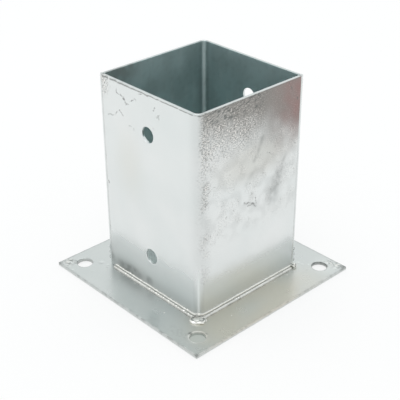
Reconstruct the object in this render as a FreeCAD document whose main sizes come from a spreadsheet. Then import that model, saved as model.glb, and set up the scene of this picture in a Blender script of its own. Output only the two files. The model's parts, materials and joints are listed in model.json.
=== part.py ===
"""Bolt-down base for a square timber post, in galvanised steel sheet.

Two equal angles, each folded once from flat sheet, stand on a square plate and close a square
socket. Their leg ends meet edge to edge on the socket's inside corners, and the open joint
outside is filled by a seam weld. A fillet weld along each wall holds the socket on the plate.

Millimetres, +Z up, origin at the middle of the plate's underside. The front wall faces -Y.
"""

import FreeCAD
import Part
import Sketcher

import math
import os

# The driving dimensions: alias, value, what it measures. Every other size follows from these.
SIZES = [
    ("post_clear", 91.0, "inside width of the socket, for a 90 mm post"),
    ("wall_thick", 2.0, "thickness of the folded sheet"),
    ("fold_radius", 3.0, "inside radius of the fold in each angle"),
    ("socket_height", 150.0, "height of the walls above the plate"),
    ("plate_side", 150.0, "side of the square plate"),
    ("plate_thick", 2.5, "thickness of the plate"),
    ("anchor_hole", 12.0, "diameter of the anchor holes"),
    ("anchor_edge", 14.0, "plate edge to the middle of an anchor hole"),
    ("bolt_hole", 11.0, "diameter of the post bolt holes"),
    ("lower_bolt_height", 28.0, "plate top to the middle of the lower bolt hole"),
    ("upper_bolt_drop", 29.0, "rim to the middle of the upper bolt hole"),
    ("seam_crown", 1.1, "rise of a seam weld above the line between its two edges"),
    ("foot_leg", 3.0, "leg of a foot weld, up the wall and along the plate"),
    ("foot_crown", 0.45, "rise of a foot weld above the line between its two edges"),
    ("foot_rounding", 2.5, "radius from a foot weld's flat end into its crown"),
    ("front_weld_inset", 5.0, "outer corner to the tip of the front and the back foot weld"),
    ("right_weld_inset", 2.5, "outer corner to the tip of the right and the left foot weld"),
]

# Places that several pieces share, as expressions on the sheet.
INNER_FACE = "(Sizes.post_clear / 2)"
OUTER_FACE = "(Sizes.post_clear / 2 + Sizes.wall_thick)"
FOLD_AXIS = "(Sizes.post_clear / 2 - Sizes.fold_radius)"
OUTER_FOLD_RADIUS = "(Sizes.fold_radius + Sizes.wall_thick)"

QUARTER_TURN = 90.0
HALF_TURN = 180.0
FULL_TURN = 360.0
ANCHOR_HOLES = 4
START, END, CENTRE = 1, 2, 3  # the points of a line or an arc, as Sketcher numbers them
ORIGIN = (-1, 1)  # the sketch's own origin
VERTICAL_AXIS = -2  # the sketch's own vertical axis

doc = FreeCAD.newDocument("PostBase")
sheet = doc.addObject("Spreadsheet::Sheet", "Sizes")
for row, (alias, size, note) in enumerate(SIZES, start=1):
    sheet.set(f"A{row}", alias)
    sheet.set(f"B{row}", str(size))
    sheet.set(f"C{row}", note)
    sheet.setAlias(f"B{row}", alias)
doc.recompute()


def value(expression):
    """The number that an expression on the sheet has now."""
    return float(sheet.evalExpression(expression))


def new_body(label, on_plate=True, turn=0.0):
    """A body turned about Z, with its origin in the middle of the plate's top or of its underside."""
    body = doc.addObject("PartDesign::Body", label)
    body.Label = label
    body.Placement = FreeCAD.Placement(FreeCAD.Vector(), FreeCAD.Rotation(FreeCAD.Vector(0, 0, 1), turn))
    if on_plate:
        body.setExpression("Placement.Base.z", "Sizes.plate_thick")
    return body


def new_sketch(body, name, plane):
    """A sketch on one of the body's own origin planes."""
    sketch = body.newObject("Sketcher::SketchObject", name)
    support = next(f for f in body.Origin.OriginFeatures if f.Role == plane)
    sketch.AttachmentSupport = (support, [""])
    sketch.MapMode = "FlatFace"
    return sketch


def add_line(sketch, start, end):
    return sketch.addGeometry(Part.LineSegment(FreeCAD.Vector(*start), FreeCAD.Vector(*end)))


def add_arc(sketch, centre, radius, from_angle, to_angle):
    """An arc that runs counter-clockwise between two angles in degrees."""
    circle = Part.Circle(FreeCAD.Vector(*centre), FreeCAD.Vector(0, 0, 1), radius)
    return sketch.addGeometry(Part.ArcOfCircle(circle, math.radians(from_angle), math.radians(to_angle)))


def add_circle(sketch, centre, radius):
    return sketch.addGeometry(Part.Circle(FreeCAD.Vector(*centre), FreeCAD.Vector(0, 0, 1), radius))


def relate(sketch, kind, *geometry):
    """One constraint without a size, such as Coincident, Tangent or Horizontal."""
    sketch.addConstraint(Sketcher.Constraint(kind, *geometry))


def dimension(sketch, name, kind, *geometry, size):
    """One driving dimension, bound to an expression on the sheet."""
    index = sketch.addConstraint(Sketcher.Constraint(kind, *geometry, value(size)))
    sketch.renameConstraint(index, name)
    sketch.setExpression(f"Constraints.{name}", size)


def from_origin(geometry, point, side):
    """The two ends of a distance between the sketch's origin and a point, in rising order."""
    return (*ORIGIN, geometry, point) if side > 0 else (geometry, point, *ORIGIN)


def crown_radius(leg, crown):
    """The radius of a bead's face, as an expression, from its two equal legs and its rise."""
    return f"({leg} ^ 2 / 2 + {crown} ^ 2) / (2 * {crown})"


def cut_through(body, sketch, name):
    """Punches a sketch through the body, both ways from the sketch's plane."""
    punch = body.newObject("PartDesign::Pocket", name)
    punch.Profile = sketch
    punch.Type = "ThroughAll"
    punch.SideType = "Symmetric"
    return punch


def make_base_plate():
    """The square plate, cut with sharp corners, with an anchor hole punched near each corner."""
    body = new_body("base_plate", on_plate=False)
    half = value("Sizes.plate_side / 2")
    outline = new_sketch(body, "PlateOutline", "XY_Plane")
    corners = [(-half, -half), (half, -half), (half, half), (-half, half)]
    sides = [add_line(outline, a, b) for a, b in zip(corners, corners[1:] + corners[:1])]
    for side, following in zip(sides, sides[1:] + sides[:1]):
        relate(outline, "Coincident", side, END, following, START)
    for side in sides[0::2]:
        relate(outline, "Horizontal", side)
    for side in sides[1::2]:
        relate(outline, "Vertical", side)
    relate(outline, "Equal", sides[0], sides[1])
    relate(outline, "Symmetric", sides[0], START, sides[2], START, *ORIGIN)
    dimension(outline, "side", "Distance", sides[0], size="Sizes.plate_side")
    plate = body.newObject("PartDesign::Pad", "Plate")
    plate.Profile = outline
    plate.setExpression("Length", "Sizes.plate_thick")

    place = "Sizes.plate_side / 2 - Sizes.anchor_edge"
    layout = new_sketch(body, "AnchorHoleLayout", "XY_Plane")
    hole = add_circle(layout, (value(place), value(place)), value("Sizes.anchor_hole / 2"))
    dimension(layout, "across", "DistanceX", *ORIGIN, hole, CENTRE, size=place)
    dimension(layout, "along", "DistanceY", *ORIGIN, hole, CENTRE, size=place)
    dimension(layout, "diameter", "Diameter", hole, size="Sizes.anchor_hole")
    punch = cut_through(body, layout, "AnchorHole")
    holes = body.newObject("PartDesign::PolarPattern", "AnchorHoles")
    holes.Originals = [punch]
    holes.Axis = (next(f for f in body.Origin.OriginFeatures if f.Role == "Z_Axis"), [""])
    holes.Angle = FULL_TURN
    holes.Occurrences = ANCHOR_HOLES
    body.Tip = holes
    return body


def make_angle(label, turn):
    """One sheet folded to a right angle: a front leg with two bolt holes and a plain right leg.

    The leg ends stop at the socket's inside corners, where the other angle's ends meet them.
    """
    body = new_body(label, turn=turn)
    inner, outer, axis = value(INNER_FACE), value(OUTER_FACE), value(FOLD_AXIS)
    fold_inside, fold_outside = value("Sizes.fold_radius"), value(OUTER_FOLD_RADIUS)
    section = new_sketch(body, label + "_Section", "XY_Plane")
    front_outside = add_line(section, (-inner, -outer), (axis, -outer))
    outside_fold = add_arc(section, (axis, -axis), fold_outside, -QUARTER_TURN, 0)
    right_outside = add_line(section, (outer, -axis), (outer, inner))
    right_end = add_line(section, (outer, inner), (inner, inner))
    right_inside = add_line(section, (inner, inner), (inner, -axis))
    inside_fold = add_arc(section, (axis, -axis), fold_inside, -QUARTER_TURN, 0)
    front_inside = add_line(section, (axis, -inner), (-inner, -inner))
    front_end = add_line(section, (-inner, -inner), (-inner, -outer))

    relate(section, "Tangent", front_outside, END, outside_fold, START)
    relate(section, "Tangent", outside_fold, END, right_outside, START)
    relate(section, "Coincident", right_outside, END, right_end, START)
    relate(section, "Coincident", right_end, END, right_inside, START)
    relate(section, "Tangent", right_inside, END, inside_fold, END)
    relate(section, "Tangent", inside_fold, START, front_inside, START)
    relate(section, "Coincident", front_inside, END, front_end, START)
    relate(section, "Coincident", front_end, END, front_outside, START)
    relate(section, "Coincident", outside_fold, CENTRE, inside_fold, CENTRE)
    for level in (front_outside, right_end, front_inside):
        relate(section, "Horizontal", level)
    for upright in (right_outside, right_inside, front_end):
        relate(section, "Vertical", upright)
    dimension(section, "fold", "Radius", inside_fold, size="Sizes.fold_radius")
    dimension(section, "sheet", "Distance", front_end, size="Sizes.wall_thick")
    dimension(section, "right_face", "DistanceX", *ORIGIN, right_inside, START, size=INNER_FACE)
    dimension(section, "right_reach", "DistanceY", *ORIGIN, right_inside, START, size=INNER_FACE)
    dimension(section, "front_face", "DistanceY", front_inside, END, *ORIGIN, size=INNER_FACE)
    dimension(section, "front_reach", "DistanceX", front_inside, END, *ORIGIN, size=INNER_FACE)
    walls = body.newObject("PartDesign::Pad", label + "_Walls")
    walls.Profile = section
    walls.setExpression("Length", "Sizes.socket_height")

    layout = new_sketch(body, label + "_BoltHoleLayout", "XZ_Plane")
    heights = {
        "lower": "Sizes.lower_bolt_height",
        "upper": "Sizes.socket_height - Sizes.upper_bolt_drop",
    }
    for name, height in heights.items():
        hole = add_circle(layout, (0, value(height)), value("Sizes.bolt_hole / 2"))
        relate(layout, "PointOnObject", hole, CENTRE, VERTICAL_AXIS)
        dimension(layout, name + "_height", "DistanceY", *ORIGIN, hole, CENTRE, size=height)
        dimension(layout, name + "_diameter", "Diameter", hole, size="Sizes.bolt_hole")
    cut_through(body, layout, label + "_BoltHoles")
    return body


def make_seam_weld(label, turn):
    """The bead in the open corner joint between two leg ends, from the plate to the rim."""
    body = new_body(label, turn=turn)
    inner, outer = value(INNER_FACE), value(OUTER_FACE)
    radius = crown_radius("Sizes.wall_thick", "Sizes.seam_crown")
    # The arc's middle lies on the corner's diagonal, inside the line between the two edges.
    middle = -(inner + outer) / 2 + (value(radius) - value("Sizes.seam_crown")) / math.sqrt(2)
    to_front_edge = math.degrees(math.atan2(-outer - middle, -inner - middle)) + FULL_TURN
    to_left_edge = math.degrees(math.atan2(-inner - middle, -outer - middle)) + FULL_TURN
    section = new_sketch(body, label + "_Section", "XY_Plane")
    front_root = add_line(section, (-inner, -inner), (-inner, -outer))
    crown = add_arc(section, (middle, middle), value(radius), to_left_edge, to_front_edge)
    left_root = add_line(section, (-outer, -inner), (-inner, -inner))
    relate(section, "Coincident", front_root, END, crown, END)
    relate(section, "Coincident", crown, START, left_root, START)
    relate(section, "Coincident", left_root, END, front_root, START)
    relate(section, "Vertical", front_root)
    relate(section, "Horizontal", left_root)
    dimension(section, "corner_across", "DistanceX", front_root, START, *ORIGIN, size=INNER_FACE)
    dimension(section, "corner_along", "DistanceY", front_root, START, *ORIGIN, size=INNER_FACE)
    dimension(section, "front_sheet", "Distance", front_root, size="Sizes.wall_thick")
    dimension(section, "left_sheet", "Distance", left_root, size="Sizes.wall_thick")
    dimension(section, "bead", "Radius", crown, size=radius)
    bead = body.newObject("PartDesign::Pad", label + "_Bead")
    bead.Profile = section
    bead.setExpression("Length", "Sizes.socket_height")
    return body


def draw_fillet(section):
    """The section of a foot weld, with its root at the sketch's origin and the wall on its right."""
    leg = value("Sizes.foot_leg")
    radius = crown_radius("Sizes.foot_leg", "Sizes.foot_crown")
    # The arc's middle lies as far behind the wall's face as it lies below the plate's top.
    middle = (value(radius) - value("Sizes.foot_crown")) / math.sqrt(2) - leg / 2
    to_wall_edge = math.degrees(math.atan2(leg + middle, -middle))
    to_plate_edge = math.degrees(math.atan2(middle, -leg - middle))
    on_wall = add_line(section, (0, 0), (0, leg))
    crown = add_arc(section, (middle, -middle), value(radius), to_wall_edge, to_plate_edge)
    on_plate = add_line(section, (-leg, 0), (0, 0))
    relate(section, "Coincident", on_wall, START, *ORIGIN)
    relate(section, "Coincident", on_wall, END, crown, START)
    relate(section, "Coincident", crown, END, on_plate, START)
    relate(section, "Coincident", on_plate, END, on_wall, START)
    relate(section, "Vertical", on_wall)
    relate(section, "Horizontal", on_plate)
    dimension(section, "wall_leg", "Distance", on_wall, size="Sizes.foot_leg")
    dimension(section, "plate_leg", "Distance", on_plate, size="Sizes.foot_leg")
    dimension(section, "bead", "Radius", crown, size=radius)


def draw_run(path, tip_end, fold_side):
    """A foot weld's line: straight along the wall, then half way round the folded corner."""
    outer, axis = value(OUTER_FACE), value(FOLD_AXIS)
    run = add_line(path, (-fold_side * value(tip_end), -outer), (fold_side * axis, -outer))
    half_fold = QUARTER_TURN / 2
    sweep = sorted((-QUARTER_TURN, fold_side * half_fold - QUARTER_TURN))
    bend = add_arc(path, (fold_side * axis, -axis), value(OUTER_FOLD_RADIUS), *sweep)
    relate(path, "Tangent", run, END, bend, START if fold_side > 0 else END)
    relate(path, "Horizontal", run)
    relate(path, "Angle", bend, math.radians(half_fold))
    dimension(path, "tip", "DistanceX", *from_origin(run, START, -fold_side), size=tip_end)
    dimension(path, "fold", "DistanceX", *from_origin(run, END, fold_side), size=FOLD_AXIS)
    dimension(path, "wall", "DistanceY", run, START, *ORIGIN, size=OUTER_FACE)
    dimension(path, "bend", "Radius", bend, size=OUTER_FOLD_RADIUS)


def end_arc(bead, place):
    """Name of the arc round the flat end of a bead that lies at x = place."""
    for number, edge in enumerate(bead.Shape.Edges, start=1):
        off_plane = max(abs(vertex.X - place) for vertex in edge.Vertexes)
        if edge.Curve.TypeId == "Part::GeomCircle" and off_plane < 1e-6:
            return f"Edge{number}"
    raise RuntimeError(f"{bead.Label} has no flat end")


def make_foot_weld(label, turn, inset, fold_side):
    """The fillet bead along the foot of one wall, drawn on the front wall and turned to its own.

    It starts at an end rounded off near the seam corner, runs along the wall and goes half way
    round the folded corner, where the next bead meets it. fold_side is +1 with the fold at +X.
    """
    body = new_body(label, turn=turn)
    tip_end = f"({OUTER_FACE} - Sizes.{inset})"
    section = new_sketch(body, label + "_Section", "YZ_Plane")
    section.setExpression("AttachmentOffset.Base.x", f"-{OUTER_FACE}")
    section.setExpression("AttachmentOffset.Base.z", f"{-fold_side} * {tip_end}")
    draw_fillet(section)
    path = new_sketch(body, label + "_Path", "XY_Plane")
    draw_run(path, tip_end, fold_side)
    bead = body.newObject("PartDesign::AdditivePipe", label + "_Bead")
    bead.Profile = section
    bead.Spine = (path, [""])
    doc.recompute()
    tip = body.newObject("PartDesign::Fillet", label + "_Tip")
    tip.Base = (bead, [end_arc(bead, -fold_side * value(tip_end))])
    tip.setExpression("Radius", "Sizes.foot_rounding")
    return body


def check_document():
    """Stops before anything is written if a feature failed or a piece has no sound solid."""
    doc.recompute()
    for item in doc.Objects:
        if "Invalid" in item.State or "Error" in item.State:
            raise RuntimeError(f"{item.Label} failed: {item.State}")
    for body in bodies:
        if body.Shape.isNull() or not body.Shape.isValid() or len(body.Shape.Solids) != 1:
            raise RuntimeError(f"{body.Label} isn't one valid solid")


bodies = [
    make_base_plate(),
    make_angle("front_right_angle", turn=0.0),
    make_angle("back_left_angle", turn=HALF_TURN),
    make_seam_weld("front_left_seam_weld", turn=0.0),
    make_seam_weld("back_right_seam_weld", turn=HALF_TURN),
    make_foot_weld("front_foot_weld", 0.0, "front_weld_inset", fold_side=1),
    make_foot_weld("right_foot_weld", QUARTER_TURN, "right_weld_inset", fold_side=-1),
    make_foot_weld("back_foot_weld", HALF_TURN, "front_weld_inset", fold_side=1),
    make_foot_weld("left_foot_weld", -QUARTER_TURN, "right_weld_inset", fold_side=-1),
]
check_document()
os.makedirs("parts", exist_ok=True)
for body in bodies:
    body.Shape.exportStep(f"parts/{body.Label}.step")
    print(f"{body.Label}: {body.Shape.Volume:.1f} mm3")
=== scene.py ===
"""Looks of the bolt-down base for a square post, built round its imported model.

The pieces are drawn in millimetres, in the model's own frame: +Z up, the front wall faces -Y.
"""

import json
import math

import bmesh
import bpy
from mathutils import Matrix, Vector, noise


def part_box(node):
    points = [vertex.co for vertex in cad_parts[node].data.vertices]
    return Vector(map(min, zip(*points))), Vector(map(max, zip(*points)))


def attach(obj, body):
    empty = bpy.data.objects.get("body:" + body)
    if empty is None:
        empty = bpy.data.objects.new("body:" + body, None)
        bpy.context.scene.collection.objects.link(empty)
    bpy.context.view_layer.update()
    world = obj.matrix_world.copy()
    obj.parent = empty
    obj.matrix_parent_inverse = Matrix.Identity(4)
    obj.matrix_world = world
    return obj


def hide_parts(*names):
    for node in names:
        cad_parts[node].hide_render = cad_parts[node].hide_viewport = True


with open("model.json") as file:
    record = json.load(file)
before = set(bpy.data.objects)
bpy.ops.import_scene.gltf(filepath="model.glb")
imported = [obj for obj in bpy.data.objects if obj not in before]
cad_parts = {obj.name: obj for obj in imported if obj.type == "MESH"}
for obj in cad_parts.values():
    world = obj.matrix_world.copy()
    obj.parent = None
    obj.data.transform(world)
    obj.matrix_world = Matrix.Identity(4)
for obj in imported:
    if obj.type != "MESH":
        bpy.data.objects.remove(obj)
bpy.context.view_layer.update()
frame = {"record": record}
mounts = {mount["name"]: mount for mount in frame["record"]["mounts"]}
MM = 0.001


# ------------------------------------------------------------------------------------------------
# Base plate
# A square of mild steel sheet, cut to size and punched for four anchors. It was dipped in molten
# zinc with the socket already welded on, so its edges are rounded and each hole has a zinc lip.
# ------------------------------------------------------------------------------------------------

EDGE_ROLL = 0.35  # radius that the zinc gives to a cut edge
roll_angles = [math.pi / 2 * step / 3 for step in (1, 2, 3)]
edge_roll = [(EDGE_ROLL * math.sin(angle), EDGE_ROLL * (1.0 - math.cos(angle))) for angle in roll_angles]
HOLE_WINDOW = 9.0  # half the side of the square round a hole that its rings of faces fill


def spaced(start, end, step):
    """Places from start up to, but not at, end, evenly spaced and about a step apart."""
    count = max(1, round((end - start) / step))
    return [start + (end - start) * k / count for k in range(count)]


def grid_lines(start, *stretches):
    """Grid lines from start on; each stretch is (its end, the step within it)."""
    lines = []
    for end, step in stretches:
        lines += spaced(start, end, step)
        start = end
    return lines + [start]


def ramp(value, low, high):
    """0 below low, 1 above high and smooth between; low may be the higher one."""
    share = min(1.0, max(0.0, (value - low) / (high - low)))
    return share * share * (3.0 - 2.0 * share)


def cloud(u, v, size, seed):
    """Smooth noise on the sheet, about -1 to 1, whose lumps are about that size."""
    return noise.noise(Vector((u / size, v / size, 7.31 * seed)))


def ridge(off, width):
    """1 where off is 0, fading to 0 over a width or two on either side."""
    return math.exp(-((off / width) ** 2))


def spot(u, v, middle_u, middle_v, half_u, half_v):
    """1 in the middle of an oval spot and 0 at its rim."""
    return ramp(math.hypot((u - middle_u) / half_u, (v - middle_v) / half_v), 1.0, 0.0)


def streak(a, b, points, width):
    """1 on a line through points and fading to 0 a width or two from it."""
    gap = 1000.0
    for (start_a, start_b), (end_a, end_b) in zip(points, points[1:]):
        along_a, along_b = end_a - start_a, end_b - start_b
        share = ((a - start_a) * along_a + (b - start_b) * along_b) / (along_a**2 + along_b**2)
        share = min(1.0, max(0.0, share))
        gap = min(gap, math.hypot(a - start_a - share * along_a, b - start_b - share * along_b))
    return ridge(gap, width)


class Coat:
    """What the zinc does at one place of a sheet's face, with light and shade painted into it."""

    CASTS = ("grime", "pitted", "bronze", "rust", "warm", "ash", "dull")

    def __init__(self):
        self.proud = 0.0  # millimetres that it stands off the steel
        self.grime = 0.0  # dark residue in hollows, and painted shade and painted reflection, 0 to 1 as the rest are
        self.pitted = 0.0  # fine pits, dark in their hollows and bright between
        self.bronze = 0.0  # brownish grey cast, and in places painted reflection
        self.rust = 0.0  # reddish cast, and painted reflection
        self.warm = 0.0  # faint beige cast
        self.ash = 0.0  # pale and matt, where dross and ash lie on the zinc, and painted highlights and painted light
        self.dull = 0.0  # less of a mirror, with no colour of its own


def hole_profile(radius, thick):
    """Rings from the edge of a hole's window on one face, through the hole, to the other face.

    Each is (share of the way from window to circle, circle's radius, depth).
    """
    mouth = radius + EDGE_ROLL
    into = [(share, mouth, 0.0) for share in (0.3, 0.55, 0.75, 0.9, 1.0)]
    into += [(1.0, mouth - inward, depth) for inward, depth in edge_roll]
    return into + [(share, ring, thick - depth) for share, ring, depth in reversed(into)]


def edge_profile(thick):
    """Rings round the cut edge of a sheet, each (how far out, depth)."""
    return edge_roll + [(out, thick - depth) for out, depth in reversed(edge_roll)]


def window_loop(first, last, low, high):
    """Grid places round a rectangle of the grid, counter-clockwise."""
    loop = [(i, low) for i in range(first, last)]
    loop += [(last, j) for j in range(low, high)]
    loop += [(i, high) for i in range(last, first, -1)]
    loop += [(first, j) for j in range(high, low, -1)]
    return loop


def nearest(lines, place):
    return min(range(len(lines)), key=lambda k: abs(lines[k] - place))


def put(name, data):
    """An object of that name in the scene."""
    piece = bpy.data.objects.new(name, data)
    bpy.context.scene.collection.objects.link(piece)
    return piece


def dipped_sheet(name, u_lines, v_lines, thick, holes, place, outer_coat, inner_coat, wear):
    """A flat blank with its holes, bent as place says, with zinc on it, as one closed mesh.

    u_lines and v_lines cross the blank, EDGE_ROLL inside its outline at both ends. place(u, v,
    depth) is where a point of the blank ends up, with depth measured in from the outer face.
    wear(u, v) is how far the cut edge is eaten back.
    """
    verts, coats, insides, faces = [], [], [], []

    def add(u, v, depth):
        inside = depth / thick
        outer, inner = outer_coat(u, v), inner_coat(u, v)
        depth += inner.proud * inside - outer.proud * (1.0 - inside)
        verts.append(place(u, v, depth))
        coats.append(outer if inside < 0.5 else inner)
        insides.append(ramp(inside, 0.8, 1.0))
        return len(verts) - 1

    def join(before, after, hole):
        count = len(before)
        for k in range(count):
            m = (k + 1) % count
            if hole:
                faces.append((before[k], before[m], after[m], after[k]))
            else:
                faces.append((before[k], after[k], after[m], before[m]))

    columns, rows = len(u_lines), len(v_lines)
    windows, hidden, in_window = [], set(), set()
    for hole_u, hole_v, radius in holes:
        first, last, low, high = (
            nearest(lines, middle + aside)
            for lines, middle in ((u_lines, hole_u), (v_lines, hole_v))
            for aside in (-HOLE_WINDOW, HOLE_WINDOW)
        )
        windows.append((first, last, low, high, hole_u, hole_v, radius))
        hidden.update((i, j) for i in range(first + 1, last) for j in range(low + 1, high))
        in_window.update((i, j) for i in range(first, last) for j in range(low, high))
    shown = [(i, j) for i in range(columns) for j in range(rows) if (i, j) not in hidden]
    outer_grid = {(i, j): add(u_lines[i], v_lines[j], 0.0) for i, j in shown}
    inner_grid = {(i, j): add(u_lines[i], v_lines[j], thick) for i, j in shown}
    for i in range(columns - 1):
        for j in range(rows - 1):
            if (i, j) in in_window:
                continue
            square = [(i, j), (i + 1, j), (i + 1, j + 1), (i, j + 1)]
            faces.append(tuple(outer_grid[corner] for corner in square))
            faces.append(tuple(inner_grid[corner] for corner in reversed(square)))

    outline = window_loop(0, columns - 1, 0, rows - 1)
    before = [outer_grid[corner] for corner in outline]
    for out, depth in edge_profile(thick):
        after = []
        for i, j in outline:
            u, v = u_lines[i], v_lines[j]
            away = Vector(((i == columns - 1) - (i == 0), (j == rows - 1) - (j == 0)))
            away.normalize()
            reach = out - wear(u, v)
            after.append(add(u + away.x * reach, v + away.y * reach, depth))
        join(before, after, hole=False)
        before = after
    join(before, [inner_grid[corner] for corner in outline], hole=False)

    for first, last, low, high, hole_u, hole_v, radius in windows:
        loop = window_loop(first, last, low, high)
        before = [outer_grid[corner] for corner in loop]
        for share, ring, depth in hole_profile(radius, thick):
            after = []
            for i, j in loop:
                u, v = u_lines[i], v_lines[j]
                angle = math.atan2(v - hole_v, u - hole_u)
                ring_u = hole_u + ring * math.cos(angle)
                ring_v = hole_v + ring * math.sin(angle)
                after.append(add(u + (ring_u - u) * share, v + (ring_v - v) * share, depth))
            join(before, after, hole=True)
            before = after
        join(before, [inner_grid[corner] for corner in loop], hole=True)

    mesh = bpy.data.meshes.new(name)
    mesh.from_pydata([Vector(point) * MM for point in verts], [], faces)
    for label in Coat.CASTS:
        values = [min(1.0, max(0.0, getattr(coat, label))) for coat in coats]
        mesh.attributes.new(label, "FLOAT", "POINT").data.foreach_set("value", values)
    mesh.attributes.new("inside", "FLOAT", "POINT").data.foreach_set("value", insides)
    mesh.shade_smooth()
    return put(name, mesh)


def new_node(tree, kind, *values, **settings):
    """A node of that kind, with its open inputs filled in order; None leaves one alone.

    A setting is one of the node's own, or an input by its name, with _ for a space.
    """
    node = tree.nodes.new(kind)

    def fill(slot, value):
        if isinstance(value, bpy.types.NodeSocket):
            tree.links.new(value, slot)
        elif value is not None:
            slot.default_value = value

    for key, value in settings.items():
        if hasattr(node, key):
            setattr(node, key, value)
        else:
            fill(node.inputs[key.replace("_", " ")], value)
    for slot, value in zip([slot for slot in node.inputs if slot.enabled], values):
        fill(slot, value)
    return node


def number(tree, operation, *values):
    """Output of arithmetic with numbers."""
    return new_node(tree, "ShaderNodeMath", *values, operation=operation).outputs[0]


def product(tree, one, other):
    return number(tree, "MULTIPLY", one, other)


def spread(tree, value, low, high, first, last):
    """Turns low to high into first to last, and no further."""
    return new_node(tree, "ShaderNodeMapRange", value, low, high, first, last).outputs["Result"]


def grains(tree, place, scale, detail):
    texture = new_node(tree, "ShaderNodeTexNoise", Vector=place, Scale=scale, Detail=detail)
    return texture.outputs["Fac"]


def tinted(tree, share, below, colour):
    """The colour below, with that share of another over it."""
    if isinstance(below, tuple):
        below = (*below, 1.0)
    mix = new_node(tree, "ShaderNodeMix", share, below, (*colour, 1.0), data_type="RGBA")
    return mix.outputs[2]


def zinc_finish(name, pale, cloudy, satin, within=None, marks=None):
    """Hot-dip galvanised steel: satin metal, cloudy, dull where the zinc is rough.

    pale and cloudy are its two tones, satin its lowest and highest roughness and within its
    colour on the inner face, where that differs from cloudy; that darker inner colour is partly
    painted shade. marks adds marks: it takes the node tree and the object's coordinates and
    returns a socket that is 1 on a mark.
    """
    material = bpy.data.materials.new(name)
    material.use_nodes = True
    tree = material.node_tree
    shader = tree.nodes["Principled BSDF"].inputs
    place = new_node(tree, "ShaderNodeTexCoord").outputs["Object"]

    def clouds(scale, detail, low, high):
        return spread(tree, grains(tree, place, scale, detail), 0.3, 0.7, low, high)

    def cast(label):
        return new_node(tree, "ShaderNodeAttribute", attribute_name=label).outputs["Fac"]

    def blended(share, below, value):
        return new_node(tree, "ShaderNodeMix", share, below, value, data_type="FLOAT").outputs[0]

    def dented(height, strength, distance, **settings):
        settings.update(Height=height, Strength=strength, Distance=distance)
        return new_node(tree, "ShaderNodeBump", **settings).outputs["Normal"]

    drawn_out = new_node(tree, "ShaderNodeMapping", Vector=place, Scale=(0.62, 0.62, 1.2))
    pits = grains(tree, drawn_out.outputs["Vector"], 1120.0, 2.0)
    pitted = cast("pitted")
    bright = product(tree, pitted, spread(tree, pits, 0.52, 0.63, 0.0, 0.95))
    dark = product(tree, pitted, spread(tree, pits, 0.49, 0.39, 0.0, 0.85))
    specks = spread(tree, grains(tree, place, 480.0, 1.0), 0.66, 0.71, 0.0, 1.0)
    stray = product(tree, spread(tree, pitted, 0.0, 0.3, 0.0, 0.4), specks)
    colour = pale
    # Casts over the base tone. In places the dark, pale, brown and red casts are painted shade, painted
    # light and painted reflection, and the inner face's darker tone is partly painted shade.
    for share, over in (
        (clouds(24.0, 3.0, 0.0, 1.0), cloudy),
        (cast("inside"), within or cloudy),
        (cast("ash"), (0.93, 0.96, 0.95)),
        (cast("warm"), (0.70, 0.67, 0.59)),
        (cast("bronze"), (0.27, 0.26, 0.245)),
        (cast("rust"), (0.30, 0.205, 0.195)),
        (bright, (0.90, 0.86, 0.81)),
        (dark, (0.19, 0.18, 0.165)),
        (stray, (0.22, 0.215, 0.21)),
        (cast("grime"), (0.13, 0.14, 0.135)),
    ):
        colour = tinted(tree, share, colour, over)
    roughness = clouds(60.0, 4.0, *satin)
    for label, rough in (("inside", 0.5), ("dull", 0.48), ("ash", 0.7)):
        roughness = blended(cast(label), roughness, rough)
    normal = dented(clouds(900.0, 3.0, 0.0, 1.0), 0.25, 0.00004)
    normal = dented(product(tree, pitted, pits), 0.6, 0.00022, Normal=normal)
    if marks:
        mark = marks(tree, place)
        colour = tinted(tree, mark, colour, (0.16, 0.165, 0.16))
        normal = dented(mark, 0.6, 0.00015, Normal=normal, invert=True)
    tree.links.new(colour, shader["Base Color"])
    tree.links.new(roughness, shader["Roughness"])
    tree.links.new(spread(tree, cast("ash"), 0.0, 1.0, 1.0, 0.2), shader["Metallic"])
    tree.links.new(normal, shader["Normal"])
    return material


plate_zinc = zinc_finish("plate_zinc", (0.685, 0.71, 0.70), (0.64, 0.67, 0.66), (0.26, 0.36))

plate_low, plate_high = (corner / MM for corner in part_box("base_plate"))
PLATE_SIDE = plate_high.x - plate_low.x
PLATE_THICK = plate_high.z
PLATE_STEP = 1.0
anchors = mounts["anchor_bolts"]["dims"]
ANCHOR_MOUTH = anchors["hole_r_mm"]  # the zinc closes the holes up a little below their mouths
ANCHOR_OFF = anchors["spacing_x_mm"] / 2
anchor_places = [(x, y) for x in (-ANCHOR_OFF, ANCHOR_OFF) for y in (-ANCHOR_OFF, ANCHOR_OFF)]
SOCKET_FLOOR = 45.0  # half the side of the square floor that the socket shuts in

# Lumps of dross, each x, y, radius, height and how pale it is, the paleness a painted highlight.
dross_lumps = [
    (-68.5, -68.5, 2.4, 0.5, 0.8),
    (-66.0, -65.5, 1.8, 0.4, 0.0),
    (-53.0, -51.5, 2.6, 0.4, 0.5),
    (-47.0, -50.5, 1.3, 0.5, 0.7),
    (-45.5, -52.0, 0.9, 0.4, 0.7),
    (-48.5, -63.5, 0.9, 0.4, 0.9),
    (-60.0, -73.0, 0.9, 0.35, 0.9),
    (57.5, 51.5, 0.9, 0.3, 0.6),
    (50.5, 54.0, 1.2, 0.60, 1.0),
    (47.0, 53.5, 1.6, 0.75, 1.0),
    (54.0, 57.0, 0.9, 0.3, 0.9),
]

# Crusted corners, each x, y and half sizes.
rough_corners = [(67.0, 71.0, 13.0, 8.0), (-70.0, -70.0, 8.0, 8.0), (-71.0, 68.0, 6.0, 8.0)]


def plate_place(u, v, depth):
    return u, v, PLATE_THICK - depth


def bore_darkness(hole_u, hole_v):
    """How dark an anchor hole's wall is: the two to the left and right of the socket are darker."""
    return 0.70 if hole_u * hole_v > 0.0 else 0.12


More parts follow.
